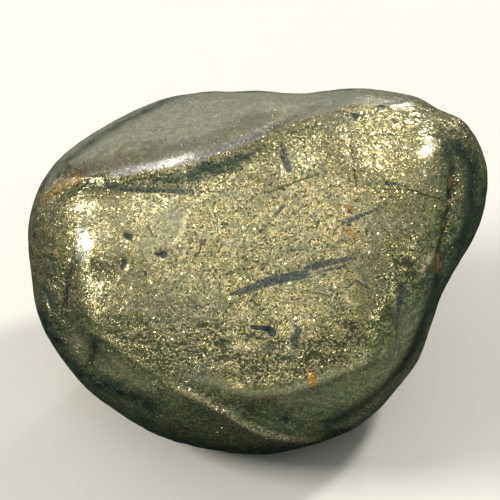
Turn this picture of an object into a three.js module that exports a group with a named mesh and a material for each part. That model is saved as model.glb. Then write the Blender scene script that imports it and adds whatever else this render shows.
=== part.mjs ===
// A tumbled and polished pebble of chalcopyrite, one solid piece. Millimetres, +Z up, at rest on z = 0.
// The pebble is drawn square to its broad face: u runs to the right, v up the face and w out of it.
// It is then leaned back onto its small rest flat, which ends up level, with the broad face in front.
import * as THREE from "three";
import { mergeVertices } from "three/addons/utils/BufferGeometryUtils.js";

const { degToRad, euclideanModulo, radToDeg, smoothstep } = THREE.MathUtils;

// Driving dimensions, in millimetres unless a line says otherwise
const FACE_LEAN = 40; // degrees that the broad face leans back from upright
const FACE_DEPTH = 9.6; // from the rim out to the crown of the broad face
const BACK_DEPTH = 10.8; // from the rim out to the crown of the back
const RIM_SLOPE = -0.14; // how far the rim falls back for each millimetre up the face
const FULLNESS = 2.5; // power of the body's curve from rim to crown: 2 is round, more is boxier
const SOFT_EDGE = 15; // power of the join between the worn flats: more leaves a crisper edge
const CRISP_EDGE = 40; // the same for the top facet, whose edge is less worn
const REST_DEPTH = 9.3; // from the centre down to the rest flat
const REST_ROUNDING = 0.2; // how much deeper the underside would reach if the rest flat weren't worn
const REST_PLACE = [-0.2, 0.9]; // the foot of the centre of mass on it, right of and behind the centre
const WEAR_LIMIT = -2.5; // height above the rim, to the side that wears, where the wear starts to show
const WEAR_WHOLE = 1; // height above the rim where it shows in full
const CELLS = 28; // mesh cells along each edge of the cube that is puffed out into the pebble

// Distance of the rim from the centre, every RIM_STEP degrees from the right, anticlockwise
const RIM_STEP = 15;
const RIM = [
  12.9, 15.6, 18.1, 16.1, 14.1, 12.3, 12.3, 12.6, 13.2, 14.1, 15.4, 16.1,
  14.9, 14.8, 14.0, 12.9, 12.5, 12.0, 11.7, 11.5, 11.8, 12.0, 12.1, 12.1,
];

// Worn flats: which way each one faces, as a bearing round the face and a tilt out of it in degrees,
// and how far it lies from the centre
const TOP_FACET = { bearing: 105, tilt: 27, distance: 11.5 };
const FLATS = {
  "broad face": { bearing: 80, tilt: 87, distance: 8.9 },
  "belly": { bearing: 268, tilt: 36, distance: 11.4 },
  "left flank": { bearing: 178, tilt: 28, distance: 14.6 },
  "lower left flank": { bearing: 222, tilt: 30, distance: 12.8 },
  "lower right flank": { bearing: 330, tilt: 34, distance: 11.8 },
  "right shoulder": { bearing: 25, tilt: 26, distance: 16.2 },
  "back": { bearing: 100, tilt: -70, distance: 10.4 },
  "back left": { bearing: 165, tilt: -38, distance: 13.0 },
  "back right": { bearing: 12, tilt: -42, distance: 12.6 },
  "underside left": { bearing: 215, tilt: -30, distance: 12.8 },
  "underside right": { bearing: 320, tilt: -28, distance: 12.0 },
};

// Valleys and ridges, each a smooth path through [u, v] points, seen from the face or through from
// the back. It fades out at both ends. The width is from its middle line to half its depth, and a
// ridge has a negative depth.
const FACE = 1;
const BACK = -1;
const PATH_STEPS = 80;
const WEAR = {
  "trough under the brow": { side: FACE, width: 0.9, depth: 0.15,
    path: [[-11.6, 5.0], [-9.3, 5.4], [-6.2, 5.7], [-3.4, 6.4], [-0.6, 7.6]] },
  "brow": { side: FACE, width: 0.6, depth: -0.1,
    path: [[-11.5, 6.0], [-9.3, 6.6], [-6.8, 7.2], [-4.6, 7.8], [-1.0, 8.8]] },
  "crease behind the lip": { side: FACE, width: 0.6, depth: 0.3,
    path: [[-4.0, 8.2], [-0.8, 9.1], [1.2, 9.7], [2.9, 10.4], [4.9, 11.2]] },
  "lip over the top facet": { side: FACE, width: 0.8, depth: -0.18,
    path: [[-2.4, 7.4], [0.8, 8.4], [4.4, 9.8], [7.0, 10.6], [10.0, 10.4]] },
  "dish in the top facet": { side: FACE, width: 1.2, depth: 0.3,
    path: [[-11.0, 7.6], [-6.5, 9.4], [-1.0, 10.8], [4.0, 11.6]] },
  "notch over the right lobe": { side: FACE, width: 0.6, depth: 0.45,
    path: [[10.6, 15.0], [11.6, 12.4], [12.2, 10.4], [12.6, 8.6]] },
  "rusty groove down the right": { side: FACE, width: 0.5, depth: 0.4,
    path: [[12.5, 9.8], [12.9, 8.0], [12.9, 6.4], [12.8, 5.2], [12.4, 3.4], [11.9, 0.6], [11.7, -2.4]] },
  "groove along the lower right": { side: FACE, width: 0.6, depth: 0.4,
    path: [[12.0, 1.2], [11.7, -1.6], [11.2, -3.9], [10.3, -6.0], [8.9, -7.7], [7.0, -9.0], [4.0, -10.3]] },
  "valley on the right lobe": { side: FACE, width: 0.6, depth: 0.25,
    path: [[13.5, 9.6], [14.1, 6.6], [13.9, 4.2], [13.3, 2.2], [12.9, 0.6]] },
  "knob on the left shoulder": { side: FACE, width: 1.8, depth: -0.3,
    path: [[-11.2, 4.0], [-10.9, 1.9], [-10.7, -0.2]] },
  "knob on the right shoulder": { side: FACE, width: 1.5, depth: -0.25,
    path: [[9.9, 9.2], [10.7, 8.0], [10.9, 6.6]] },
  "groove down the left": { side: FACE, width: 0.6, depth: 0.4,
    path: [[-11.9, 1.2], [-12.4, -1.6], [-12.0, -3.5], [-10.6, -5.5], [-9.8, -7.2]] },
  "ridge across the belly": { side: FACE, width: 0.8, depth: -0.2,
    path: [[-4.6, -6.0], [-0.8, -7.0], [2.0, -7.0], [5.2, -6.1], [7.1, -5.4], [9.6, -3.2]] },
  "hollow under the belly ridge": { side: FACE, width: 0.9, depth: 0.3,
    path: [[-1.6, -8.0], [2.4, -8.5], [7.0, -7.0]] },
  "scuffed edge": { side: FACE, width: 0.6, depth: -0.25,
    path: [[-5.6, -7.1], [-2.7, -8.3], [-1.4, -9.2], [0.5, -10.0], [4.4, -10.4]] },
  "hollow in the back": { side: BACK, width: 2.0, depth: 0.6,
    path: [[-7.0, 5.0], [-3.5, 3.4], [0.5, 3.6]] },
  "crack across the back": { side: BACK, width: 0.6, depth: 0.5,
    path: [[10.5, 8.6], [6.8, 5.4], [5.2, 2.2], [4.4, -2.4]] },
  "ledge low on the back": { side: BACK, width: 0.9, depth: -0.3,
    path: [[-11.5, -0.4], [-7.5, -3.4], [-2.8, -4.4]] },
};

// Long low swells left by uneven wear: wavelength, height, and the way each one runs
const SWELLS = [
  { wavelength: 10.4, height: 0.09, along: [0.9, 0.3, 0.2] },
  { wavelength: 8.6, height: 0.07, along: [-0.4, 0.8, 0.3] },
  { wavelength: 9.5, height: 0.07, along: [0.2, -0.5, 0.8] },
  { wavelength: 5.3, height: 0.03, along: [0.7, 0.6, -0.5] },
];

// Unit direction in the face's frame from a bearing and a tilt
function direction(bearing, tilt) {
  const around = degToRad(bearing);
  const out = degToRad(tilt);
  const across = Math.cos(out);
  return new THREE.Vector3(across * Math.cos(around), across * Math.sin(around), Math.sin(out));
}

// The rim as a smooth curve through RIM, from one step before the start to two steps past a whole turn
const rimTurns = Array.from({ length: RIM.length + 3 }, (_, index) => index - 1);
const rimCurve = new THREE.CubicInterpolant(
  rimTurns.map((turn) => turn * RIM_STEP),
  rimTurns.map((turn) => RIM[euclideanModulo(turn, RIM.length)]),
  1,
  [],
);

// The rim's distance from the centre at any bearing
function rimDistance(bearing) {
  return rimCurve.evaluate(euclideanModulo(bearing, 360))[0];
}

// A flat as the plane that holds it, scaled so that its dot product with a point on it is 1
function planeOf({ bearing, tilt, distance }) {
  return direction(bearing, tilt).divideScalar(distance);
}

const down = direction(270, -FACE_LEAN);
const underside = down.clone().divideScalar(REST_DEPTH + REST_ROUNDING);
const topFacet = planeOf(TOP_FACET);
const softPlanes = [underside, ...Object.values(FLATS).map(planeOf)];

// The largest of several values, with the change from one to the next rounded off
function softLargest(values, sharpness) {
  return values.reduce((sum, value) => sum + Math.max(0, value) ** sharpness, 0) ** (1 / sharpness);
}

// The point of the rounded body that lies along a unit direction
function bodyPoint(along) {
  const across = Math.hypot(along.x, along.y) / rimDistance(radToDeg(Math.atan2(along.y, along.x)));
  const out = along.z - RIM_SLOPE * along.y;
  const crown = Math.abs(out) / (out > 0 ? FACE_DEPTH : BACK_DEPTH);
  const round = softLargest([across, crown], FULLNESS);
  const body = softLargest([round, ...softPlanes.map((plane) => along.dot(plane))], SOFT_EDGE);
  return along.clone().divideScalar(softLargest([body, along.dot(topFacet)], CRISP_EDGE));
}

const wear = Object.values(WEAR).map(({ path, ...form }) => {
  const line = new THREE.SplineCurve(path.map((place) => new THREE.Vector2(...place)));
  return { ...form, steps: line.getSpacedPoints(PATH_STEPS) };
});

// How far wear has lowered the surface at a point
function wearDepth(point) {
  const place = new THREE.Vector2(point.x, point.y);
  let lowered = 0;
  for (const { side, width, depth, steps } of wear) {
    const distances = steps.map((step) => step.distanceTo(place));
    const distance = Math.min(...distances);
    const fade = Math.sin((Math.PI * distances.indexOf(distance)) / PATH_STEPS);
    const shown = smoothstep(point.z * side, WEAR_LIMIT, WEAR_WHOLE);
    lowered += shown * fade * depth * 2 ** -((distance / width) ** 2);
  }
  for (const { wavelength, height, along } of SWELLS) {
    const phase = point.dot(new THREE.Vector3(...along).normalize()) / wavelength;
    lowered += height * Math.sin(2 * Math.PI * phase);
  }
  return lowered;
}

// A cube's surface grid, puffed out along its own directions into the worn pebble
function pebbleGeometry() {
  const cube = new THREE.BoxGeometry(2, 2, 2, CELLS, CELLS, CELLS);
  cube.deleteAttribute("normal");
  cube.deleteAttribute("uv");
  const geometry = mergeVertices(cube);
  const position = geometry.attributes.position;
  const spread = (value) => Math.tan((value * Math.PI) / 4);
  for (let i = 0; i < position.count; i++) {
    const corner = new THREE.Vector3().fromBufferAttribute(position, i);
    const along = new THREE.Vector3(spread(corner.x), spread(corner.y), spread(corner.z)).normalize();
    const point = bodyPoint(along);
    point.addScaledVector(along, -wearDepth(point));
    point.addScaledVector(down, Math.min(0, REST_DEPTH - point.dot(down)));
    position.setXYZ(i, point.x, point.y, point.z);
  }
  return geometry;
}

const pebble = new THREE.Mesh(
  pebbleGeometry(),
  new THREE.MeshStandardMaterial({ color: 0x8e8a5e, roughness: 0.4, metalness: 0.9 }),
);
pebble.name = "pebble";
pebble.rotation.x = degToRad(90 - FACE_LEAN);
pebble.position.set(-REST_PLACE[0], -REST_PLACE[1], REST_DEPTH);

const specimen = new THREE.Group();
specimen.add(pebble);
export default specimen;
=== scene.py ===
# A tumbled chalcopyrite pebble on a pale studio floor. The CAD solid gives its shape. This script
# refines its skin, cuts the creases and pits into it, and finishes it as polished, grainy ore.
import math
from functools import reduce

import bmesh
import bpy
import numpy as np
from mathutils import Matrix, Vector, noise


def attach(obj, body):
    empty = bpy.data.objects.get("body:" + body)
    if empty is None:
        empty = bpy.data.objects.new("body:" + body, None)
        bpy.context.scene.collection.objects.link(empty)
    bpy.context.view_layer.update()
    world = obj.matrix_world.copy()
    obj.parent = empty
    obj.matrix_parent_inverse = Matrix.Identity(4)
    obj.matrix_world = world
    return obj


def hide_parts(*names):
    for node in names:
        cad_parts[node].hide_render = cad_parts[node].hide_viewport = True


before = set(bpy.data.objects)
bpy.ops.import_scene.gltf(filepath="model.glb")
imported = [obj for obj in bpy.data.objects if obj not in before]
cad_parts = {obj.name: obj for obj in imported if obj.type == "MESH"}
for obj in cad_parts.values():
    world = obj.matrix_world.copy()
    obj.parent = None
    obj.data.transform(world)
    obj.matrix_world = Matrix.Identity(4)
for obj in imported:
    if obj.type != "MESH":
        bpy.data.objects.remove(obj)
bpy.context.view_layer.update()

MM = 0.001  # one millimetre in metres

# Marks are placed in millimetres on the broad face, as the CAD source places its wear: u runs to the
# right, v up the face and w out of it. The face leans back 40 degrees from upright.
FACE_CENTRE = Vector((0.2, -0.9, 9.3)) * MM
FACE_TURN = math.radians(50)
FACE = Matrix.Translation(FACE_CENTRE) @ Matrix.Rotation(FACE_TURN, 4, "X") @ Matrix.Scale(MM, 4)


# The skin

WELD = 1e-6  # metres within which two corners of the CAD triangles are one
QUAD_ANGLE = math.radians(180)  # two triangles of a cell are joined however they fold
SKIN_LEVELS = 2  # times that each cell of the CAD skin is split in four
LINE_STEPS = 60  # points along a smooth line

FRONT = 1
BACK = -1

# Creases (a positive depth) and worn ridges (a negative one). The width is from the middle line to
# half the depth. A crease is also darkened with painted shade, the more the deeper it is. The wear
# given for a ridge is how brightly it is scuffed and painted pale as a painted glint, and is 1 where
# none is given. Each line fades out towards its ends.
LINES = {
    "rusty groove": dict(side=FRONT, width=0.16, depth=0.22, points=[
        (12.6, 7.4), (12.54, 6.9), (12.37, 5.84), (12.36, 5.14), (12.3, 4.37), (11.96, 3.48),
        (11.84, 2.53), (11.58, 1.46), (11.53, -0.45), (11.47, -1.73), (11.2, -2.6)]),
    "crease over the right glint": dict(side=FRONT, width=0.16, depth=0.09, points=[
        (10.2, 8.8), (11.13, 8.97), (11.58, 8.84), (12.06, 8.68), (12.7, 8.2)]),
    "valley beside the lobe": dict(side=FRONT, width=0.25, depth=0.08, points=[
        (11.8, 8.3), (12.0, 7.9), (12.24, 7.29), (12.5, 6.54), (12.4, 5.6)]),
    "valley on the lobe": dict(side=FRONT, width=0.3, depth=0.14, points=[
        (12.6, 8.7), (12.83, 8.3), (13.55, 7.48), (14.02, 6.4), (13.78, 5.3), (13.85, 4.15),
        (13.2, 2.49), (12.7, 1.2)]),
    "valley on the lower right flank": dict(side=FRONT, width=0.3, depth=0.16, points=[
        (11.5, -0.6), (11.1, -1.9), (10.7, -3.2), (10.1, -4.7), (9.3, -6.1), (8.0, -7.6),
        (6.3, -8.75), (4.6, -9.5)]),
    "lip on the lower right flank": dict(side=FRONT, width=0.22, depth=-0.08, wear=0.4, points=[
        (11.5, -2.4), (10.9, -4.2), (9.95, -5.9), (8.8, -7.05), (7.5, -8.2), (6.1, -9.2), (4.9, -9.9)]),
    "line in the trough": dict(side=FRONT, width=0.16, depth=0.07, points=[
        (-10.9, 5.6), (-10.1, 5.62), (-8.69, 5.67), (-7.42, 5.5), (-6.16, 5.55), (-4.7, 5.42),
        (-3.9, 5.5)]),
    "crease behind the lip": dict(side=FRONT, width=0.2, depth=0.06, points=[
        (-3.9, 7.6), (-2.08, 8.4), (0.0, 9.05), (1.9, 9.84), (3.64, 10.85), (6.2, 11.6)]),
    "groove down the left": dict(side=FRONT, width=0.18, depth=0.1, points=[
        (-11.7, 1.0), (-11.93, 0.44), (-12.14, -0.44), (-12.36, -1.39), (-12.45, -2.22), (-12.35, -3.2)]),
    "hooked crease": dict(side=FRONT, width=0.16, depth=0.14, points=[
        (-10.4, -3.8), (-10.4, -4.3), (-10.45, -4.9), (-10.7, -5.6), (-11.2, -6.1)]),
    "edge over the ledge": dict(side=FRONT, width=0.16, depth=-0.07, wear=0.25, points=[
        (-10.1, -3.7), (-9.7, -3.9), (-8.7, -4.5), (-7.6, -5.3), (-6.35, -6.1), (-5.1, -6.6)]),
    "ridge across the belly": dict(side=FRONT, width=0.22, depth=-0.08, wear=0.35, points=[
        (-4.25, -6.25), (-2.93, -6.62), (-1.69, -7.0), (-0.38, -7.38), (1.06, -7.32), (2.06, -7.19),
        (3.57, -6.76), (5.13, -6.07), (7.03, -5.34), (8.64, -4.23), (9.4, -3.3)]),
    "scuffed edge": dict(side=FRONT, width=0.2, depth=-0.1, wear=0.75, points=[
        (-6.14, -6.45), (-5.13, -7.08), (-3.94, -7.64), (-2.7, -8.28), (-1.39, -9.07), (-0.57, -9.6),
        (0.63, -10.14), (1.91, -10.42), (2.99, -10.57), (4.2, -10.4)]),
    "black crack": dict(side=FRONT, width=0.14, depth=0.22, points=[
        (-13.8, -0.9), (-13.6, -1.5), (-13.2, -2.3)]),
    "worn upper right edge": dict(side=FRONT, width=0.16, depth=-0.06, wear=0.5, points=[
        (4.6, 10.2), (5.2, 10.36), (6.48, 10.63), (7.77, 10.73), (8.74, 10.82), (9.9, 11.2)]),
    "upright groove": dict(side=FRONT, width=0.14, depth=0.015, points=[
        (5.75, 8.9), (5.8, 8.51), (5.97, 7.22), (6.14, 5.32)]),
    "rim of the smooth patch": dict(side=FRONT, width=0.12, depth=-0.035, points=[
        (-4.4, 4.0), (-4.5, 3.5), (-4.7, 2.8), (-5.1, 2.1), (-5.6, 1.7)]),
    "glinting line under the needles": dict(side=FRONT, width=0.17, depth=-0.06, points=[
        (-2.0, -4.4), (-1.36, -4.47), (0.26, -4.67), (1.94, -4.8), (2.6, -4.9)]),
    "glinting line at the right": dict(side=FRONT, width=0.17, depth=-0.06, points=[
        (11.1, 1.5), (10.9, 1.17), (10.4, 0.26), (9.9, -0.52)]),
    "arc under the lens": dict(side=FRONT, width=0.14, depth=-0.05, points=[
        (5.4, -1.2), (5.5, -1.4), (5.8, -1.75), (6.3, -1.95)]),
    "crack in the back": dict(side=BACK, width=0.2, depth=0.25, points=[
        (10.8, 8.9), (6.8, 5.4), (5.2, 2.2), (4.4, -2.8)]),
}

# Low steps. Under each line, on the right of its run, the skin lies deeper, and comes back up over
# the distance of the fall.
STEPS = {
    "wall of the trough": dict(width=0.35, depth=0.13, fall=2.4, points=[
        (-13.28, 5.65), (-11.93, 6.0), (-9.98, 6.1), (-8.06, 6.25), (-6.48, 6.35), (-4.71, 6.6),
        (-3.02, 7.2), (-1.45, 7.85), (0.25, 8.5), (2.4, 9.6)]),
    "ledge at the lower left": dict(width=0.18, depth=0.1, fall=1.6, points=[
        (-10.4, -3.9), (-9.75, -4.15), (-8.79, -4.8), (-7.71, -5.6), (-6.45, -6.45), (-5.2, -6.95)]),
    "step under the scuffed edge": dict(width=0.2, depth=0.14, fall=1.6, points=[
        (-6.3, -6.75), (-5.25, -7.35), (-4.05, -7.9), (-2.85, -8.55), (-1.5, -9.35), (-0.65, -9.85),
        (0.6, -10.4), (1.9, -10.7), (3.0, -10.85)]),
    "step under the belly's ridge": dict(width=0.25, depth=0.08, fall=1.2, points=[
        (-4.2, -6.6), (-2.9, -6.95), (-1.6, -7.3), (-0.3, -7.7), (1.06, -7.6), (2.1, -7.5), (3.6, -7.1),
        (5.2, -6.4), (7.1, -5.7), (8.7, -4.6)]),
}

# The sharp edge between the broad face and the worn top facet, along the face
FACET_EDGE = [
    (-16.0, 4.6), (-13.98, 5.32), (-12.59, 5.66), (-9.98, 6.25), (-6.61, 6.86), (-1.95, 8.13),
    (0.25, 8.98), (2.7, 9.9), (4.5, 10.3), (5.8, 10.75), (6.9, 10.8), (9.5, 10.7), (10.8, 11.3),
    (16.0, 13.0),
]

# Strokes that are painted on the face and a little way round its flank: where the ore is more pitted,
# polished smooth and pale (where strong, the pale is a painted highlight on the brow and in the cores
# of the glints), dulled by a grey film, darkened by painted shade (on the trough, the rims, the flanks
# and the valleys), or stained brown. The width is from the middle line to half the strength.
STROKES = {
    "pitted": [
        # along the trough: more dark hollows, as painted shade under the ledge
        dict(width=0.55, strength=1.0, points=[
            (-12.9, 5.2), (-10.5, 5.75), (-7.0, 5.85), (-4.7, 6.0), (-2.5, 6.8), (-0.9, 7.4)]),
        dict(width=0.8, strength=0.3, points=[(1.2, 8.6), (3.5, 9.6), (6.0, 9.9), (9.0, 9.6)]),
        dict(width=1.2, strength=0.8, points=[
            (-8.5, -3.6), (-4.5, -4.2), (-1.0, -4.6), (2.0, -5.4), (5.0, -4.4)]),
        dict(width=1.0, strength=0.7, points=[(5.4, -3.0), (7.0, -4.2), (8.8, -2.4), (9.6, 0.6)]),
        dict(width=0.8, strength=1.0, points=[
            (13.6, 7.4), (13.7, 6.6), (13.5, 4.9), (13.0, 3.2), (12.4, 1.0)]),
        dict(width=1.0, strength=0.9, points=[(9.5, 1.2), (9.9, -1.2), (9.1, -3.6), (7.6, -5.4)]),
        dict(width=0.8, strength=0.6, points=[(-4.4, -7.0), (-1.8, -8.1), (1.0, -8.4), (3.0, -8.2)]),
    ],
    # Polished smooth; where the stroke is strong, also painted pale as a painted highlight: the sheen along
    # the brow and the cores of the glints
    "polish_and_sheen": [
        dict(width=0.34, strength=1.0, points=[
            (-9.2, 6.5), (-6.85, 6.9), (-5.2, 7.2), (-3.6, 7.6), (-1.9, 8.2), (0.3, 9.1)]),
        dict(width=0.45, strength=0.55, points=[
            (-3.4, 7.9), (-1.1, 8.8), (1.1, 9.6), (2.7, 10.5), (4.6, 11.2), (6.4, 11.5)]),
        dict(width=1.0, strength=0.5, points=[(-6.8, 1.6), (-5.9, 2.7), (-5.1, 3.8)]),
        dict(width=0.24, strength=0.6, points=[
            (-4.4, -6.15), (-2.93, -6.5), (-1.69, -6.9), (-0.38, -7.25), (1.06, -7.2), (2.06, -7.05),
            (3.57, -6.6), (5.13, -5.95)]),
        dict(width=0.8, strength=0.4, points=[
            (2.4, -7.9), (4.5, -7.8), (6.2, -7.2), (7.8, -6.1), (9.2, -4.4)]),
        dict(width=0.45, strength=0.5, points=[(-11.3, -3.5), (-11.0, -4.2), (-10.75, -5.0)]),
        dict(width=0.4, strength=0.5, points=[(6.05, -1.1), (6.3, -1.15)]),
        dict(width=0.75, strength=0.8, points=[(-11.1, 1.2), (-11.1, 2.7)]),
        dict(width=2.4, strength=0.5, points=[
            (-11.0, 4.4), (-9.6, 2.4), (-8.6, 0.4), (-8.6, -1.6), (-9.0, -3.0)]),
        dict(width=0.6, strength=0.85, points=[(10.75, 8.0), (10.85, 8.2)]),
        dict(width=0.25, strength=0.9, points=[(8.7, 10.7), (9.1, 10.8), (9.5, 10.95)]),
    ],
    "dulled": [
        dict(width=0.5, strength=0.35, points=[(-11.5, -4.3), (-11.2, -5.0)]),
        dict(width=0.55, strength=0.35, points=[(-9.5, -5.8), (-8.4, -6.4), (-7.4, -6.9)]),
        dict(width=0.9, strength=0.45, points=[(-6.8, 1.6), (-5.9, 2.7), (-5.1, 3.8)]),
        dict(width=0.3, strength=0.5, points=[
            (-4.4, -6.3), (-2.93, -6.7), (-1.69, -7.1), (-0.38, -7.5), (1.06, -7.5), (2.06, -7.3)]),
        dict(width=0.75, strength=0.5, points=[
            (1.8, -7.8), (3.4, -7.6), (5.2, -7.3), (6.9, -6.7), (8.2, -5.5), (9.1, -4.0), (9.7, -2.6)]),
    ],
    # Painted shade: dark green paint on the trough, the rims, the flanks and the valleys, where the stone
    # lies in shade or mirrors dark ground
    "painted_shade": [
        dict(width=0.42, strength=0.85, points=[
            (-12.6, 5.4), (-11.0, 5.8), (-9.98, 5.95), (-8.06, 6.05), (-6.48, 6.05), (-4.71, 6.15),
            (-3.02, 6.8), (-1.45, 7.4), (0.25, 8.1)]),
        dict(width=0.32, strength=0.8, points=[
            (11.6, 0.2), (11.4, -1.0), (11.1, -2.1), (10.7, -3.4), (10.1, -4.8), (9.3, -6.2), (8.0, -7.6),
            (6.3, -8.8), (4.4, -9.6)]),
        dict(width=0.9, strength=0.9, points=[
            (-14.2, -3.8), (-13.1, -6.0), (-12.0, -7.2), (-10.6, -8.4), (-9.0, -9.2), (-7.2, -9.9),
            (-5.3, -10.6)]),
        dict(width=0.6, strength=0.92, points=[
            (-13.9, -2.6), (-13.5, -3.6), (-12.5, -5.1), (-11.4, -6.6), (-9.7, -7.2), (-8.2, -7.6),
            (-6.9, -8.3)]),
        dict(width=0.3, strength=0.7, points=[
            (12.1, 8.2), (12.35, 7.5), (12.5, 6.6), (12.3, 5.4)]),
        dict(width=0.6, strength=0.85, points=[
            (12.9, 8.4), (13.6, 7.5), (14.05, 6.4), (13.85, 5.3), (13.9, 4.1), (13.3, 2.4), (12.8, 1.2)]),
        dict(width=0.22, strength=0.9, points=[
            (-14.0, 5.4), (-13.5, 6.32), (-12.8, 7.0), (-11.95, 7.68), (-10.7, 8.68), (-9.75, 9.33),
            (-8.15, 10.33), (-6.55, 11.1), (-5.2, 11.8), (-3.0, 12.15), (0.5, 12.2), (3.0, 12.1),
            (6.0, 12.2)]),
        dict(width=0.45, strength=0.5, points=[(-0.8, -8.6), (0.2, -8.75), (1.1, -8.6), (1.8, -8.9)]),
        dict(width=1.2, strength=0.32, points=[(-11.6, -2.0), (-10.8, -4.0), (-9.6, -5.8)]),
        dict(width=0.5, strength=1.0, points=[(-11.4, 6.0), (-9.7, 6.1)]),
        dict(width=1.1, strength=0.6, points=[(-13.7, 3.6), (-13.5, 1.0), (-13.3, -1.5), (-12.7, -3.8)]),
        dict(width=0.6, strength=0.9, points=[
            (-5.3, -10.6), (-2.6, -11.3), (0.0, -11.6), (2.8, -11.4), (5.5, -10.3)]),
        dict(width=0.55, strength=0.9, points=[
            (14.7, 5.5), (14.3, 3.3), (13.2, 0.6), (12.3, -1.0), (11.6, -2.7), (11.2, -3.9), (10.2, -6.0)]),
    ],
    "stained": [
        dict(width=0.36, strength=1.0, points=[(-13.9, 4.9), (-13.2, 5.45), (-12.4, 5.85), (-11.4, 6.3)]),
        dict(width=0.5, strength=0.4, points=[(-11.96, 6.55), (-10.02, 7.1), (-8.1, 7.6), (-6.5, 7.9)]),
    ],
}

# Dents and, where the depth is negative, bosses: place on the face, how long, how wide and how deep,
# and the turn of the long axis in degrees
DENTS = [
    dict(place=(-8.14, 2.44), long=0.3, wide=0.17, depth=0.18, turn=-25),
    dict(place=(-6.06, 1.31), long=0.3, wide=0.2, depth=0.15, turn=10),
    dict(place=(-8.45, 0.69), long=0.26, wide=0.16, depth=0.14, turn=70),
    dict(place=(0.75, -3.43), long=0.3, wide=0.22, depth=0.18, turn=30),
    dict(place=(1.77, -9.29), long=0.25, wide=0.18, depth=0.16, turn=0),
    dict(place=(12.36, 5.14), long=0.42, wide=0.2, depth=0.35, turn=85),
    dict(place=(-9.1, -1.6), long=1.5, wide=1.2, depth=0.1, turn=80),
    dict(place=(-11.0, -4.4), long=0.9, wide=0.6, depth=-0.12, turn=60),
    dict(place=(-10.9, 1.9), long=1.6, wide=1.0, depth=-0.03, turn=90),
    dict(place=(10.4, 8.25), long=0.95, wide=0.95, depth=-0.07, turn=0),
    dict(place=(7.1, 8.6), long=1.5, wide=1.2, depth=0.08, turn=0),
    dict(place=(9.0, 10.8), long=0.8, wide=0.3, depth=-0.05, turn=5),
]

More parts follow.
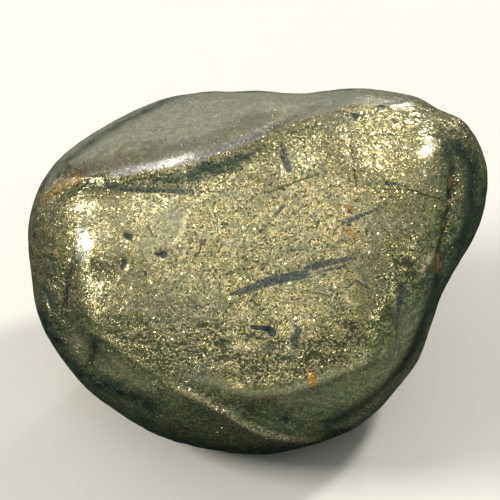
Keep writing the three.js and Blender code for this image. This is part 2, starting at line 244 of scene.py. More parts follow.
# Flecks in the ore: from, to, and half the width at each end
FLECKS = {
    "needle": [
        ((-1.7, -1.15), (-0.5, -0.78), 0.1, 0.24),
        ((-0.5, -0.78), (0.75, -0.31), 0.24, 0.3),
        ((0.75, -0.31), (2.9, 0.1), 0.3, 0.26),
        ((2.94, 0.46), (4.19, 0.78), 0.14, 0.2),
        ((4.19, 0.78), (5.9, 1.15), 0.2, 0.12),
        ((3.75, 0.25), (5.4, 0.6), 0.05, 0.12),
        ((1.42, 8.4), (1.6, 7.75), 0.12, 0.2),
        ((1.6, 7.75), (1.9, 6.7), 0.28, 0.2),
        ((1.56, 4.38), (1.06, 3.75), 0.12, 0.1),
        ((5.25, 3.3), (6.7, 3.9), 0.13, 0.12),
        ((6.7, 3.9), (8.1, 4.45), 0.12, 0.02),
        ((8.03, 5.84), (9.2, 5.65), 0.16, 0.08),
        ((2.5, -3.35), (2.05, -5.1), 0.22, 0.2),
        ((8.98, -0.56), (9.05, -1.01), 0.16, 0.16),
        ((8.95, -1.4), (8.72, -3.2), 0.2, 0.06),
        ((-11.93, 0.35), (-12.14, -0.44), 0.08, 0.14),
        ((-12.14, -0.44), (-12.42, -2.1), 0.12, 0.06),
        ((-10.3, 5.66), (-7.4, 5.5), 0.08, 0.15),
        ((-7.4, 5.5), (-4.7, 5.42), 0.15, 0.1),
    ],
    "pit": [
        ((-8.33, 2.56), (-7.98, 2.4), 0.13, 0.11),
        ((-6.38, 1.33), (-6.2, 1.36), 0.1, 0.1),
        ((-5.98, 1.3), (-5.85, 1.35), 0.15, 0.17),
        ((-8.4, 0.9), (-8.5, 0.5), 0.14, 0.13),
        ((-9.7, -1.25), (-9.55, -1.22), 0.05, 0.08),
        ((-8.6, -1.06), (-8.5, -1.06), 0.04, 0.04),
        ((-10.5, -1.9), (-10.4, -1.86), 0.05, 0.05),
        ((-9.2, -3.13), (-9.1, -3.1), 0.07, 0.08),
        ((-8.5, -3.95), (-8.3, -3.9), 0.05, 0.08),
        ((-7.06, 0.2), (-7.06, 0.05), 0.1, 0.1),
        ((-12.3, -4.0), (-12.2, -4.04), 0.06, 0.06),
        ((0.65, -3.3), (0.9, -3.55), 0.16, 0.24),
        ((-0.4, -3.2), (0.5, -3.3), 0.1, 0.14),
        ((1.77, -9.2), (1.77, -9.35), 0.14, 0.14),
        ((7.7, 10.83), (8.05, 10.8), 0.1, 0.08),
        ((6.1, 10.2), (6.2, 10.08), 0.12, 0.14),
        ((12.37, 5.3), (12.36, 4.95), 0.1, 0.13),
        ((-13.75, -0.95), (-13.3, -2.1), 0.08, 0.12),
        ((5.65, 3.2), (5.75, 3.15), 0.07, 0.07),
        ((8.6, 9.95), (8.75, 9.8), 0.07, 0.09),
    ],
    "rust": [
        ((5.62, 4.35), (5.9, 4.15), 0.17, 0.13),
        ((6.05, 4.85), (6.15, 4.8), 0.1, 0.08),
        ((5.5, 2.8), (6.05, 2.5), 0.16, 0.19),
        ((3.1, 3.6), (3.15, 3.5), 0.1, 0.1),
        ((-2.44, -7.31), (-2.4, -7.3), 0.09, 0.07),
        ((-2.13, -7.57), (-2.1, -7.55), 0.09, 0.07),
        ((-3.65, -7.5), (-3.55, -7.45), 0.08, 0.06),
        ((-12.87, 1.6), (-12.87, 1.3), 0.1, 0.08),
        ((12.4, 6.3), (12.37, 5.7), 0.09, 0.12),
        ((12.33, 4.8), (12.3, 4.5), 0.1, 0.08),
        ((11.96, 3.5), (11.9, 3.1), 0.08, 0.07),
        ((11.58, 1.3), (11.6, 0.2), 0.09, 0.11),
    ],
    "gold": [
        ((3.2, -6.05), (3.4, -6.65), 0.26, 0.3),
        ((0.12, -3.0), (0.2, -3.02), 0.1, 0.08),
        # a bright gold fleck that stands in for a glint: a painted highlight
        ((-13.2, 5.3), (-13.05, 5.33), 0.1, 0.1),
        ((5.0, -3.2), (5.1, -3.2), 0.07, 0.05),
        ((-1.9, -5.6), (-1.8, -5.6), 0.06, 0.05),
        ((-4.9, 4.7), (-4.8, 4.7), 0.06, 0.05),
    ],
}
FAR = 2.0  # millimetres from a fleck past which its distance isn't told apart

# How far round the flank each kind of mark goes. The skin's facing is 1 where it faces as the broad
# face does, and 0 at right angles to it. A mark starts at the first value and is whole at the second.
REACH = {"line": (-0.25, 0.1), "step": (-0.1, 0.2), "dent": (0.0, 0.2), "stroke": (-0.2, 0.1)}
# A crease is darkened with painted shade, the more the deeper it is
DARKEST_CREASE = 0.14  # millimetres of depth from which a crease is fully dark

FACET_FACES = Vector((-0.15, 0.2, 0.97)).normalized()  # the way out of the worn top facet
FACET_TURN = (0.35, 0.7)  # how nearly the skin faces that way where the facet starts and is whole
FACET_RIM = (-0.1, 0.3)  # millimetres over its sharp edge within which the facet's wear comes in
FLANK = (0.55, 0.95)  # the facing up to which the skin is all flank, and from which it is none
FLANK_PITTING = 0.6  # how strongly the flank is pitted all round

# Unevenness of the skin in three sizes, in millimetres: how far across a lump is, half its height on
# the face, and how much is added to that on the flank
UNEVENNESS = [
    dict(across=1.9, height=0.035, on_flank=0.0, seed=3),
    dict(across=0.9, height=0.012, on_flank=0.024, seed=7),
    dict(across=0.42, height=0.006, on_flank=0.008, seed=11),
]
REST_HEIGHT = 0.6  # millimetres over the floor below which wear fades out, so that the flat stays flat


def smooth_line(points):
    """Evenly numbered points along a smooth curve through the given ones."""
    points = [np.array(point) for point in points]
    ends = [2 * points[0] - points[1], *points, 2 * points[-1] - points[-2]]
    parts = LINE_STEPS // (len(points) - 1) + 1
    line = []
    for before, start, end, after in zip(ends, ends[1:], ends[2:], ends[3:]):
        for t in np.linspace(0, 1, parts, endpoint=False):
            line.append(0.5 * (2 * start + (end - before) * t
                               + (2 * before - 5 * start + 4 * end - after) * t ** 2
                               + (3 * start - before - 3 * end + after) * t ** 3))
    return np.array(line + [ends[-2]])


def beside(places, line):
    """For each place: its distance from a line, how far along it the nearest point is, from 0 to 1, and
    the side, 1 on the right of the line's run and -1 on the left."""
    nearest = np.full(len(places), np.inf)
    along = np.zeros(len(places))
    side = np.ones(len(places))
    for number, (start, end) in enumerate(zip(line, line[1:])):
        step = end - start
        away = places - start
        part = np.clip(away @ step / (step @ step), 0, 1)
        distance = np.linalg.norm(away - part[:, None] * step, axis=1)
        closer = distance < nearest
        nearest[closer] = distance[closer]
        along[closer] = (number + part[closer]) / (len(line) - 1)
        side[closer] = np.sign(away @ (step[1], -step[0]))[closer]
    return nearest, along, side


def rise(value, low, high):
    """0 at low, 1 at high, with a smooth rise between; low may be the larger."""
    part = np.clip((value - low) / (high - low), 0, 1)
    return part * part * (3 - 2 * part)


def fade(*distances):
    """1 at no distance, a half at a distance of 1, and soon 0 past it."""
    return 2.0 ** -sum(distance ** 2 for distance in distances)


def lumps(points, across, seed):
    """Smooth noise, from -1 to 1, with lumps about so many millimetres across."""
    shift = Vector((seed, -seed, 2.0 * seed))
    return np.array([noise.noise(Vector(point) / across + shift) for point in points])


def refined_skin(cad_pebble):
    """The CAD skin welded, made quads again and smoothed, as a new object."""
    skin = bmesh.new()
    skin.from_mesh(cad_pebble.data)
    bmesh.ops.remove_doubles(skin, verts=skin.verts, dist=WELD)
    bmesh.ops.join_triangles(skin, faces=skin.faces, angle_face_threshold=QUAD_ANGLE,
                             angle_shape_threshold=QUAD_ANGLE)
    mesh = bpy.data.meshes.new("ore_pebble")
    skin.to_mesh(mesh)
    pebble = bpy.data.objects.new("ore_pebble", mesh)
    bpy.context.collection.objects.link(pebble)
    smoothing = pebble.modifiers.new("smoothing", "SUBSURF")
    smoothing.levels = smoothing.render_levels = SKIN_LEVELS
    skin.clear()
    skin.from_object(pebble, bpy.context.evaluated_depsgraph_get())
    pebble.modifiers.clear()
    skin.to_mesh(mesh)
    skin.free()
    return pebble


def rows_of_three(items, field):
    """A mesh's places or directions as an array with three numbers to a row."""
    numbers = np.empty(len(items) * 3)
    items.foreach_get(field, numbers)
    return numbers.reshape(-1, 3)


def cut_lines(places, facing, depth):
    """Adds the creases and ridges to the depths, and gives how much painted shade each place gets in a
    crease, and how far it is scuffed and painted pale as a painted glint.
    """
    crease_shade = np.zeros(len(places))
    scuffed_and_glint = np.zeros(len(places))
    for form in LINES.values():
        distance, along, _ = beside(places, smooth_line(form["points"]))
        shown = rise(facing * form["side"], *REACH["line"]) * np.sin(np.pi * along) ** 0.5
        profile = shown * fade(distance / form["width"])
        depth += form["depth"] * profile
        # painted shade in a crease, the deeper the darker
        if form["depth"] > 0:
            crease_shade = np.maximum(crease_shade, profile * min(1, form["depth"] / DARKEST_CREASE))
        else:
            # scuffed, and later painted pale as a painted glint
            scuffed_and_glint = np.maximum(scuffed_and_glint, profile * form.get("wear", 1.0))
    return crease_shade, scuffed_and_glint


def cut_steps(places, facing, depth):
    """Adds the low steps to the depths."""
    for form in STEPS.values():
        distance, along, side = beside(places, smooth_line(form["points"]))
        shown = rise(facing, *REACH["step"]) * np.sin(np.pi * along) ** 0.5
        below = distance * side
        depth += (form["depth"] * shown * rise(below, -form["width"], form["width"])
                  * fade(np.maximum(below, 0) / form["fall"]))


def cut_dents(places, facing, depth):
    """Adds the dents and bosses to the depths."""
    for dent in DENTS:
        turn = math.radians(dent["turn"])
        away = places - dent["place"]
        lengthwise = away @ (math.cos(turn), math.sin(turn)) / dent["long"]
        sideways = away @ (-math.sin(turn), math.cos(turn)) / dent["wide"]
        depth += dent["depth"] * (rise(facing, *REACH["dent"]) * fade(lengthwise, sideways))


def painted_strokes(places, facing):
    """How strongly each place is painted by each kind of stroke."""
    painted = {}
    for name, strokes in STROKES.items():
        painted[name] = np.zeros(len(places))
        for stroke in strokes:
            distance, _, _ = beside(places, smooth_line(stroke["points"]))
            profile = rise(facing, *REACH["stroke"]) * fade(distance / stroke["width"])
            painted[name] = np.maximum(painted[name], stroke["strength"] * profile)
    return painted


def fleck_distances(places, facing):
    """How many millimetres each place lies outside the nearest fleck of each kind."""
    distances = {}
    for name, forms in FLECKS.items():
        nearest = np.full(len(places), FAR)
        for start, end, start_width, end_width in forms:
            distance, along, _ = beside(places, np.array([start, end]))
            nearest = np.minimum(nearest, distance - start_width - (end_width - start_width) * along)
        distances[name] = np.where(facing > 0, nearest, FAR)
    return distances


def wear_skin(pebble):
    """Cuts the creases, ridges, pits and lumps into the skin, and keeps where they are for the finish."""
    mesh = pebble.data
    points = rows_of_three(mesh.vertices, "co")
    normals = rows_of_three(mesh.vertex_normals, "vector")
    to_face = np.array(FACE.inverted())
    on_face = points @ to_face[:3, :3].T + to_face[:3, 3]
    places = on_face[:, :2]
    facing = normals @ np.array(FACE.to_3x3().normalized())[:, 2]

    depth = np.zeros(len(points))
    crease_shade, scuffed_and_glint = cut_lines(places, facing, depth)
    cut_steps(places, facing, depth)
    cut_dents(places, facing, depth)
    marks = {"crease_shade": crease_shade, "scuffed_and_glint": scuffed_and_glint}
    marks |= painted_strokes(places, facing)
    marks |= fleck_distances(places, facing)

    edge_height = np.interp(places[:, 0], *np.array(FACET_EDGE).T)
    above_edge = rise(places[:, 1] - edge_height, *FACET_RIM)
    marks["facet"] = above_edge * rise(normals @ FACET_FACES, *FACET_TURN)
    flank = 1 - rise(facing, *FLANK)
    marks["pitted"] = np.maximum(marks["pitted"], FLANK_PITTING * flank * (1 - marks["facet"]))
    depth += sum((size["height"] + size["on_flank"] * flank)
                 * (1 + lumps(on_face, size["across"], size["seed"])) for size in UNEVENNESS)

    standing = rise(points[:, 2] / MM, 0.0, REST_HEIGHT)
    points -= normals * (depth * standing * MM)[:, None]
    mesh.vertices.foreach_set("co", points.ravel())
    mesh.update()
    for name, values in marks.items():
        mark = mesh.attributes.new(name, "FLOAT", "POINT")
        mark.data.foreach_set("value", values.astype(np.float32))
    mesh.shade_smooth()


# Finishes


class Reading:
    """A socket of a finish, with the sums that are done on it."""

    def __init__(self, finish, socket):
        self.finish = finish
        self.socket = socket

    def sum(self, operation, *terms, clamp=False):
        return self.finish.node("Math", dict(operation=operation, use_clamp=clamp), dict(enumerate(terms)))

    def __add__(self, other):
        return self.sum("ADD", self, other)

    def __sub__(self, other):
        return self.sum("SUBTRACT", self, other)

    def __rsub__(self, other):
        return self.sum("SUBTRACT", other, self)

    def __mul__(self, other):
        return self.sum("MULTIPLY", self, other)

    def __pow__(self, other):
        return self.sum("POWER", self, other)

    __radd__ = __add__
    __rmul__ = __mul__

    def clamped(self):
        return self.sum("ADD", self, 0.0, clamp=True)

    def fraction(self):
        return self.sum("FRACT", self)

    def larger(self, other):
        return self.sum("MAXIMUM", self, other)

    def rise(self, low, high):
        """0 at low, 1 at high, with a smooth rise between; low may be the larger."""
        return self.finish.node("MapRange", dict(interpolation_type="SMOOTHSTEP"),
                                {"Value": self, "From Min": low, "From Max": high})


class Finish:
    """The nodes of a material, or of the room's light."""

    def __init__(self, owner):
        owner.use_nodes = True
        self.owner = owner
        self.tree = owner.node_tree
        self.tree.nodes.clear()

    def node(self, kind, settings=None, sockets=None, out=0):
        """Adds a node with its settings and the values or links of its sockets, and gives one output."""
        made = self.tree.nodes.new("ShaderNode" + kind)
        for name, value in (settings or {}).items():
            setattr(made, name, value)
        for name, value in (sockets or {}).items():
            if isinstance(value, Reading):
                self.tree.links.new(value.socket, made.inputs[name])
            else:
                made.inputs[name].default_value = value
        return Reading(self, made.outputs[out])

    def mix(self, factor, first, second):
        """A colour between two others."""
        return self.node("Mix", dict(data_type="RGBA"), {0: factor, 6: first, 7: second}, out=2)

    def vector(self, operation, *terms, out=0, **sockets):
        return self.node("VectorMath", dict(operation=operation), dict(enumerate(terms)) | sockets, out=out)

    def show(self, shader):
        """Links a shader to the output of the material or of the room."""
        is_room = isinstance(self.owner, bpy.types.World)
        output = self.tree.nodes.new("ShaderNodeOutput" + ("World" if is_room else "Material"))
        self.tree.links.new(shader.socket, output.inputs["Surface"])


def colour(red, green, blue):
    return (red, green, blue, 1.0)


# The ore's metal, what covers it or shows through it, and its painted shade and painted highlights
DARK_BRASS = colour(0.29, 0.275, 0.115)
PALE_BRASS = colour(1.0, 0.87, 0.47)
ORANGE_BRASS = colour(0.95, 0.66, 0.2)
OLIVE_GRAINS = colour(0.25, 0.27, 0.165)
GREY_PATCHES = colour(0.34, 0.36, 0.27)
GREY_FACET = colour(0.45, 0.465, 0.42)
# pale polish, and the painted highlight on the brow and in the cores of the glints
PALE_POLISH_AND_SHEEN = colour(0.8, 0.77, 0.73)
GREY_FILM = colour(0.26, 0.3, 0.21)
DARK_HOLLOWS = colour(0.03, 0.048, 0.026)
# painted shade, dark green
GREEN_PAINTED_SHADE = colour(0.014, 0.042, 0.032)
BROWN_STAIN = colour(0.36, 0.22, 0.07)
SLATE_NEEDLES = colour(0.07, 0.1, 0.104)
# painted shade in the creases
PAINTED_CREASE_SHADE = colour(0.03, 0.04, 0.028)
# scuffed ridges, painted pale as painted glints
PALE_SCUFFS_AND_GLINT = colour(1.0, 0.86, 0.5)
DARK_HAIRLINES = colour(0.05, 0.06, 0.045)
BROWN_RUST = colour(0.32, 0.13, 0.02)
DEEP_GOLD = colour(0.75, 0.3, 0.03)
PALE_GOLD = colour(1.0, 0.75, 0.2)
BLACK_PITS = colour(0.012, 0.03, 0.045)

FINE_GRAINS = 12.0  # grains to the millimetre
COARSE_GRAINS = 3.4
RELIEF = 0.07  # millimetres that the relief rises where its height is 1
HAIRLINE_EDGE = 0.04  # millimetres on each side of a hairline's edge within which it fades

# Hairlines: from, to, and half the width at each end
HAIRLINES = [
    ((0.63, 5.2), (1.69, 5.64), 0.05, 0.07),
    ((1.69, 5.64), (3.85, 6.42), 0.07, 0.05),
    ((5.8, 8.3), (5.97, 7.22), 0.05, 0.07),
    ((5.97, 7.22), (6.14, 5.4), 0.07, 0.04),
    ((-1.12, -1.56), (-1.75, -1.75), 0.04, 0.07),
    ((-1.75, -1.75), (-2.06, -2.18), 0.07, 0.04),
    ((-0.12, -1.15), (-0.4, -1.5), 0.06, 0.07),
    ((-0.4, -1.5), (0.15, -1.98), 0.07, 0.04),
    ((7.65, 5.45), (9.55, 5.42), 0.04, 0.07),
    ((9.55, 5.42), (11.5, 4.78), 0.07, 0.04),
    ((7.65, 4.95), (8.91, 4.89), 0.04, 0.06),
    ((5.55, -0.75), (6.1, -0.28), 0.05, 0.07),
    ((6.1, -0.28), (6.85, -0.8), 0.07, 0.04),
    ((3.0, -0.95), (4.5, -1.25), 0.04, 0.06),
    ((-4.1, 0.9), (-3.3, 2.3), 0.05, 0.07),
    ((-6.9, 3.1), (-6.5, 2.4), 0.07, 0.05),
    ((8.72, -3.3), (8.66, -4.7), 0.05, 0.03),
]


def hairline(ore, place, start, end, start_width, end_width):
    """1 within a line that runs from start to end on the face, and 0 outside it."""
    start = Vector((*start, 0))
    run = Vector((*end, 0)) - start
    away = ore.vector("SUBTRACT", place, start)
    part = ore.vector("DOT_PRODUCT", away, run / run.length_squared, out="Value").clamped()
    nearest = ore.vector("SCALE", run, Scale=part)
    distance = ore.vector("DISTANCE", away, nearest, out="Value")
    width = start_width + (end_width - start_width) * part
    return (distance - width).rise(HAIRLINE_EDGE, -HAIRLINE_EDGE)


def ore_finish():
    """Polished, grainy chalcopyrite: brassy metal grains at every tilt, with dark ore, rust and pits,
    with painted shade in the creases, on the rims and on the flanks, and painted highlights on the
    brow, the glints and the scuffed ridges.
    """
    ore = Finish(bpy.data.materials.new("polished chalcopyrite"))
    here = ore.node("TexCoord", out="Object")
    place = ore.node("Mapping", dict(vector_type="TEXTURE"), {
        "Vector": here, "Location": FACE_CENTRE, "Rotation": (FACE_TURN, 0, 0), "Scale": (MM, MM, MM)})

    def noise_at(scale, detail=2.0, out=0, where=place):
        """Noise with so many lumps to the millimetre."""
        return ore.node("TexNoise", sockets={"Vector": where, "Scale": scale, "Detail": detail}, out=out)

    def centred(field, size):
        """A noise's colour as a shift of up to half the size each way."""
        return ore.vector("MULTIPLY_ADD", field, (size, size, size), (-size / 2, -size / 2, -size / 2))

    def within(distance, fray, soft):
        """1 inside a fleck and 0 outside it, with an edge that is frayed and soft by so much."""
        return (distance + frays * fray).rise(soft, -soft)

    shifted = ore.vector("ADD", place, centred(noise_at(2.6, out="Color"), 0.22))
    flat_place = ore.vector("MULTIPLY", shifted, (1, 1, 0))
    frays = noise_at(6.0) - 0.5
    warped = ore.vector("ADD", place, centred(noise_at(7.0, out="Color"), 0.14))
    front = ore.node("SeparateXYZ", sockets={0: place}, out="Z").rise(1.5, 2.5)

    # The marks that were kept on the skin
    crease_shade, scuffed_and_glint, pitted, polish_and_sheen, dulled, painted_shade, stained, facet, needle, pit, rusty, golden = (
        ore.node("Attribute", dict(attribute_name=name), out="Fac")
        for name in ("crease_shade", "scuffed_and_glint", "pitted", "polish_and_sheen", "dulled", "painted_shade", "stained", "facet",
                     "needle", "pit", "rust", "gold"))
    smooth = polish_and_sheen.larger(facet * 0.75)
    needles = within(needle, 0.24, 0.06)
    pits = within(pit - 0.03, 0.16, 0.04)
    rust = within(rusty, 0.3, 0.05)
    gold = within(golden, 0.5, 0.04)
    hairlines = reduce(Reading.larger, (hairline(ore, flat_place, *form) for form in HAIRLINES)) * front

    # Grains: each fine one has a tilt, a tone and a hue of its own, and each coarse one a tilt and a tone
    fine = ore.node("TexVoronoi", sockets={"Vector": warped, "Scale": FINE_GRAINS}, out="Color")
    coarse = ore.node("TexVoronoi", sockets={"Vector": warped, "Scale": COARSE_GRAINS}, out="Color")

    def chance(grains, weights):
        """A number from 0 to 1 for each grain, that the weights draw from its colour."""
        return ore.vector("DOT_PRODUCT", grains, weights, out="Value").fraction()

    tilt_chance = chance(fine, (13.7, 5.3, 7.9))
    tone = chance(fine, (4.1, 17.3, 9.7))
    hue = chance(fine, (8.3, 6.1, 15.7))
    coarse_tone = chance(coarse, (11.9, 7.1, 5.7))

    # Hollows between the grains, most of them in the streaks of the pitted ore
    patches = noise_at(0.32, 3.0)
    spots = noise_at(1.1, 3.0)
    streaks = noise_at(1.2, 3.0, where=ore.vector("MULTIPLY", shifted, (0.45, 1.5, 1.0)))
    gaps = noise_at(6.0, 4.5) + (streaks - 0.38) * pitted + 0.2 * (spots - 0.5) - 0.1 * smooth
    hollow = gaps.rise(0.515, 0.65)
    # where the ridges are scuffed and painted pale as painted glints
    worn_and_glint = scuffed_and_glint * (0.3 + 0.7 * tone)

    # The grains' tilts, calm where the ore is polished and strong where it is rough
    facing = ore.node("NewGeometry", out="Normal")
    calm = (1 - 0.8 * smooth) * (1 - 0.7 * needles)
    rough = 1 + (1.5 * pitted + 3.5 * scuffed_and_glint) * (1 - smooth)
    tilt_size = (0.05 + 0.13 * tilt_chance ** 2 + 1.2 * tilt_chance ** 9) * calm * rough
    tilt = ore.vector("SCALE", ore.vector("SUBTRACT", fine, (0.5, 0.5, 0.5)), Scale=tilt_size)
    coarse_tilt = ore.vector("SCALE", ore.vector("SUBTRACT", coarse, (0.5, 0.5, 0.5)), Scale=0.1 * calm)
    tilts = ore.vector("ADD", tilt, coarse_tilt)
    grain_normal = ore.vector("NORMALIZE", ore.vector("ADD", facing, tilts))

    brass = ore.mix(tone, DARK_BRASS, PALE_BRASS)
    brass = ore.mix(hue.rise(0.8, 0.84) * 0.5, brass, ORANGE_BRASS)
    body = ore.mix(coarse_tone.rise(0.45, 0.95) * 0.6, brass, OLIVE_GRAINS)
    body = ore.mix(patches.rise(0.45, 0.7) * 0.4, body, GREY_PATCHES)
    body = ore.mix(facet * 0.52, body, GREY_FACET)
    # painted highlight: the strong polish strokes on the brow and at the glints are painted pale
    body = ore.mix(polish_and_sheen.rise(0.4, 1.0) * 0.8, body, PALE_POLISH_AND_SHEEN)
    body = ore.mix(dulled * 0.8, body, GREY_FILM)
    body = ore.mix(hollow * 0.9 * (1 - 0.6 * dulled), body, DARK_HOLLOWS)
    # painted shade on the trough, the rims, the flanks and the valleys, broken up by spots
    body = ore.mix(painted_shade * (0.6 + 0.4 * spots.rise(0.4, 0.58)), body, GREEN_PAINTED_SHADE)
    body = ore.mix(stained * spots.rise(0.35, 0.6) * 0.75, body, BROWN_STAIN)
    body = ore.mix(needles * (1.05 - 0.3 * hollow - 0.3 * tone), body, SLATE_NEEDLES)
    # painted shade in the creases, the deeper the darker
    body = ore.mix(crease_shade * 0.8, body, PAINTED_CREASE_SHADE)
    # painted glints on the scuffed ridges
    body = ore.mix(worn_and_glint * (1 - 0.8 * hollow), body, PALE_SCUFFS_AND_GLINT)
    body = ore.mix(hairlines * 0.75, body, DARK_HAIRLINES)
    body = ore.mix(rust * (0.9 - 0.4 * tone), body, BROWN_RUST)
    body = ore.mix(gold * (1 - 0.7 * hollow), body, ore.mix(tone, DEEP_GOLD, PALE_GOLD))
    body = ore.mix(pits * 0.94, body, BLACK_PITS)

    roughness = 0.19 + 0.1 * coarse_tone + 0.06 * facet + 0.2 * hollow + 0.2 * rust + 0.3 * pits
    # the scuffed ridges are made dull, so that their pale paint shows as a painted glint
    metal = ((1 - 0.6 * rust) * (1 - 0.4 * hollow) * (1 - 0.6 * pits)
             * (1 - 0.85 * worn_and_glint) * (1 - 0.4 * dulled))
    height = (0.4 * noise_at(2.6, 3.0) * (1 - 0.75 * smooth) * rough
              - 2.4 * streaks * pitted - 0.3 * hollow - 0.8 * pits)
    relief = ore.node("Bump", sockets={
        "Strength": 1.0, "Distance": RELIEF * MM, "Height": height, "Normal": grain_normal})
    ore.show(ore.node("BsdfPrincipled", sockets={
        "Base Color": body, "Metallic": metal, "Roughness": roughness.clamped(), "Normal": relief}))
    return ore.owner


# The floor's paint, and the painted reflection of it, with painted shadow, that only the stone mirrors
PALE_FLOOR = colour(0.72, 0.71, 0.69)
PAINTED_SHADOW_MIRRORED = colour(0.003, 0.011, 0.012)
MIRRORED_FRONT = colour(0.045, 0.095, 0.1)
MIRRORED_RIGHT = colour(0.13, 0.21, 0.19)
MIRRORED_BACK = colour(0.32, 0.34, 0.31)


def floor_finish():
    """A plain pale floor. The stone's reflections see a painted reflection in its place: a dark green
    floor with painted shadow, darkest under the stone, a little paler before it, and palest behind it
    and to its right."""
    pale = Finish(bpy.data.materials.new("pale studio floor"))
    here = pale.node("TexCoord", out="Object")
    along = pale.node("SeparateXYZ", sockets={0: here}, out="X")
    back = pale.node("SeparateXYZ", sockets={0: here}, out="Y")
    away = pale.vector("LENGTH", here, out="Value")
    front_light = away.rise(6 * MM, 20 * MM) * back.rise(4 * MM, -16 * MM)
    right_light = (away.rise(14 * MM, 24 * MM) * (along - back).rise(8 * MM, 30 * MM)
                   * along.rise(2 * MM, 16 * MM))
    back_light = away.rise(44 * MM, 56 * MM) * back.rise(5 * MM, 30 * MM) * along.rise(25 * MM, 0.0)
    mirrored = pale.mix(front_light, PAINTED_SHADOW_MIRRORED, MIRRORED_FRONT)
    mirrored = pale.mix(right_light, mirrored, MIRRORED_RIGHT)
    mirrored = pale.mix(back_light, mirrored, MIRRORED_BACK)
    # painted reflection: glossy rays see the dark green floor with its painted shadow
    paint = pale.mix(pale.node("LightPath", out="Is Glossy Ray"), PALE_FLOOR, mirrored)
    pale.show(pale.node("BsdfPrincipled", sockets={"Base Color": paint, "Roughness": 0.9}))
    return pale.owner


# The pebble

pebble = refined_skin(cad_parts["pebble"])
wear_skin(pebble)
pebble.data.materials.clear()
pebble.data.materials.append(ore_finish())
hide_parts("pebble")
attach(pebble, "root")


# The studio

FLOOR_SIZE = 2.0  # metres from the middle of the floor to its edge

# Tints of the lamps
WARM = (1.0, 0.95, 0.86)
WHITE = (1.0, 1.0, 1.0)

LAMP_TARGET = Vector((0, 0, 0.01))  # the middle of the pebble, that every lamp faces

# Soft lamps: the way to each from the pebble, and in metres its distance and size. One with a depth is
# an oblong, turned by so many degrees, and the others are round. The power is in watts, and one with
# no tint is white.
LAMPS = {
    "left lamp": dict(towards=(-0.86, -0.12, 0.5), distance=0.45, size=0.15, depth=0.08, turn=-33,
                      power=1.95, tint=WARM),
    "right lamp": dict(towards=(0.54, 0.34, 0.77), distance=0.45, size=0.072, power=1.12, tint=WARM),
    "top lamp": dict(towards=(-0.25, 0.09, 0.965), distance=0.6, size=0.36, depth=0.09, power=0.35),
    "rear lamp": dict(towards=(0.37, 0.85, 0.35), distance=0.5, size=0.05, power=0.47, tint=WARM),
    "low front lamp": dict(towards=(0.1, -0.96, 0.18), distance=0.5, size=0.12, depth=0.03, power=0.07,
                           tint=WARM),
    "low right lamp": dict(towards=(0.82, -0.56, 0.08), distance=0.5, size=0.05, power=0.12, tint=WARM),
    "low left lamp": dict(towards=(-0.93, -0.36, 0.05), distance=0.5, size=0.05, power=0.1, tint=WARM),
    "back panel": dict(towards=(-0.1, 0.96, 0.27), distance=0.6, size=0.7, depth=0.25, power=0.33),
    "front panel": dict(towards=(-0.04, -0.52, 0.85), distance=0.6, size=0.45, power=0.315),
}

# The room's light from straight down to straight up, and on its right
ROOM_BOTTOM = colour(0.004, 0.015, 0.016)
ROOM_HORIZON = colour(0.022, 0.05, 0.06)
ROOM_RIGHT = colour(0.22, 0.27, 0.23)
ROOM_ABOVE = colour(0.3, 0.31, 0.31)
ROOM_TOP = colour(0.2, 0.21, 0.21)

FIELD = 32.4  # millimetres across the picture at the face's centre
VIEW_DISTANCE = 240.0  # millimetres out from the face
VIEW_PLACE = (-0.52, 1.62)  # where the camera stands over the face, left of and above its centre
SENSOR = 36.0  # millimetres
NEAREST_VIEW = 0.01  # metres from the camera at which things start to show


def studio_floor():
    """One flat sheet under the pebble."""
    sheet = bmesh.new()
    bmesh.ops.create_grid(sheet, x_segments=1, y_segments=1, size=FLOOR_SIZE)
    mesh = bpy.data.meshes.new("floor")
    sheet.to_mesh(mesh)
    sheet.free()
    mesh.materials.append(floor_finish())
    floor = bpy.data.objects.new("floor", mesh)
    bpy.context.collection.objects.link(floor)
    return floor


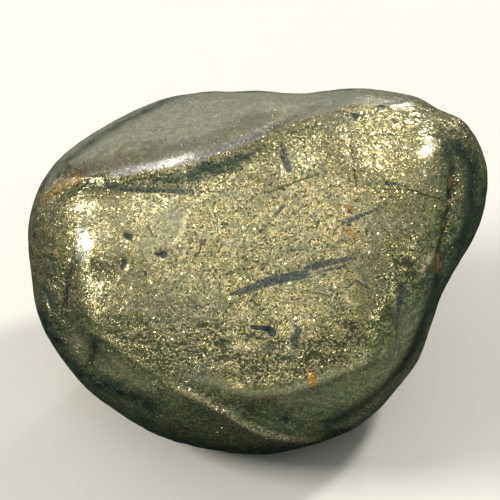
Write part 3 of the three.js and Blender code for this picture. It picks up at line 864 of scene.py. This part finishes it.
def soft_lamp(name, towards, distance, size, power, depth=None, turn=0, tint=WHITE):
    """A soft lamp that stands off from the pebble and faces it."""
    light = bpy.data.lights.new(name, "AREA")
    light.shape = "RECTANGLE" if depth else "DISK"
    light.size = size
    if depth:
        light.size_y = depth
    light.energy = power
    light.color = tint
    lamp = bpy.data.objects.new(name, light)
    bpy.context.collection.objects.link(lamp)
    away = Vector(towards).normalized()
    lamp.matrix_world = (Matrix.Translation(LAMP_TARGET + away * distance)
                         @ away.to_track_quat("Z", "Y").to_matrix().to_4x4()
                         @ Matrix.Rotation(math.radians(turn), 4, "Z"))


def studio_room():
    """A room that is dark and greenish below, soft grey above, and paler to the right."""
    air = Finish(bpy.data.worlds.new("studio"))
    towards = air.node("TexCoord", out="Generated")
    height = air.node("SeparateXYZ", sockets={0: towards}, out="Z")
    right = air.node("SeparateXYZ", sockets={0: towards}, out="X")
    back = air.node("SeparateXYZ", sockets={0: towards}, out="Y")
    low_light = air.mix(height.rise(-0.9, 0.1), ROOM_BOTTOM, ROOM_HORIZON)
    low_light = air.mix((right - 0.5 * back).rise(0.4, 1.05), low_light, ROOM_RIGHT)
    light = air.mix(height.rise(0.05, 0.8), low_light, ROOM_ABOVE)
    light = air.mix(height.rise(0.88, 1.0), light, ROOM_TOP)
    air.show(air.node("Background", sockets={"Color": light}))
    return air.owner


def studio_camera():
    """A long lens that looks straight at the broad face."""
    lens = bpy.data.cameras.new("camera")
    lens.sensor_width = SENSOR
    lens.lens = SENSOR * VIEW_DISTANCE / FIELD
    lens.clip_start = NEAREST_VIEW
    camera = bpy.data.objects.new("camera", lens)
    bpy.context.collection.objects.link(camera)
    camera.matrix_world = (Matrix.Translation(FACE @ Vector((*VIEW_PLACE, VIEW_DISTANCE)))
                           @ Matrix.Rotation(FACE_TURN, 4, "X"))
    return camera


floor = studio_floor()
for name, lamp in LAMPS.items():
    soft_lamp(name, **lamp)
scene = bpy.context.scene
scene.world = studio_room()
scene.camera = studio_camera()
scene.view_settings.view_transform = "Standard"
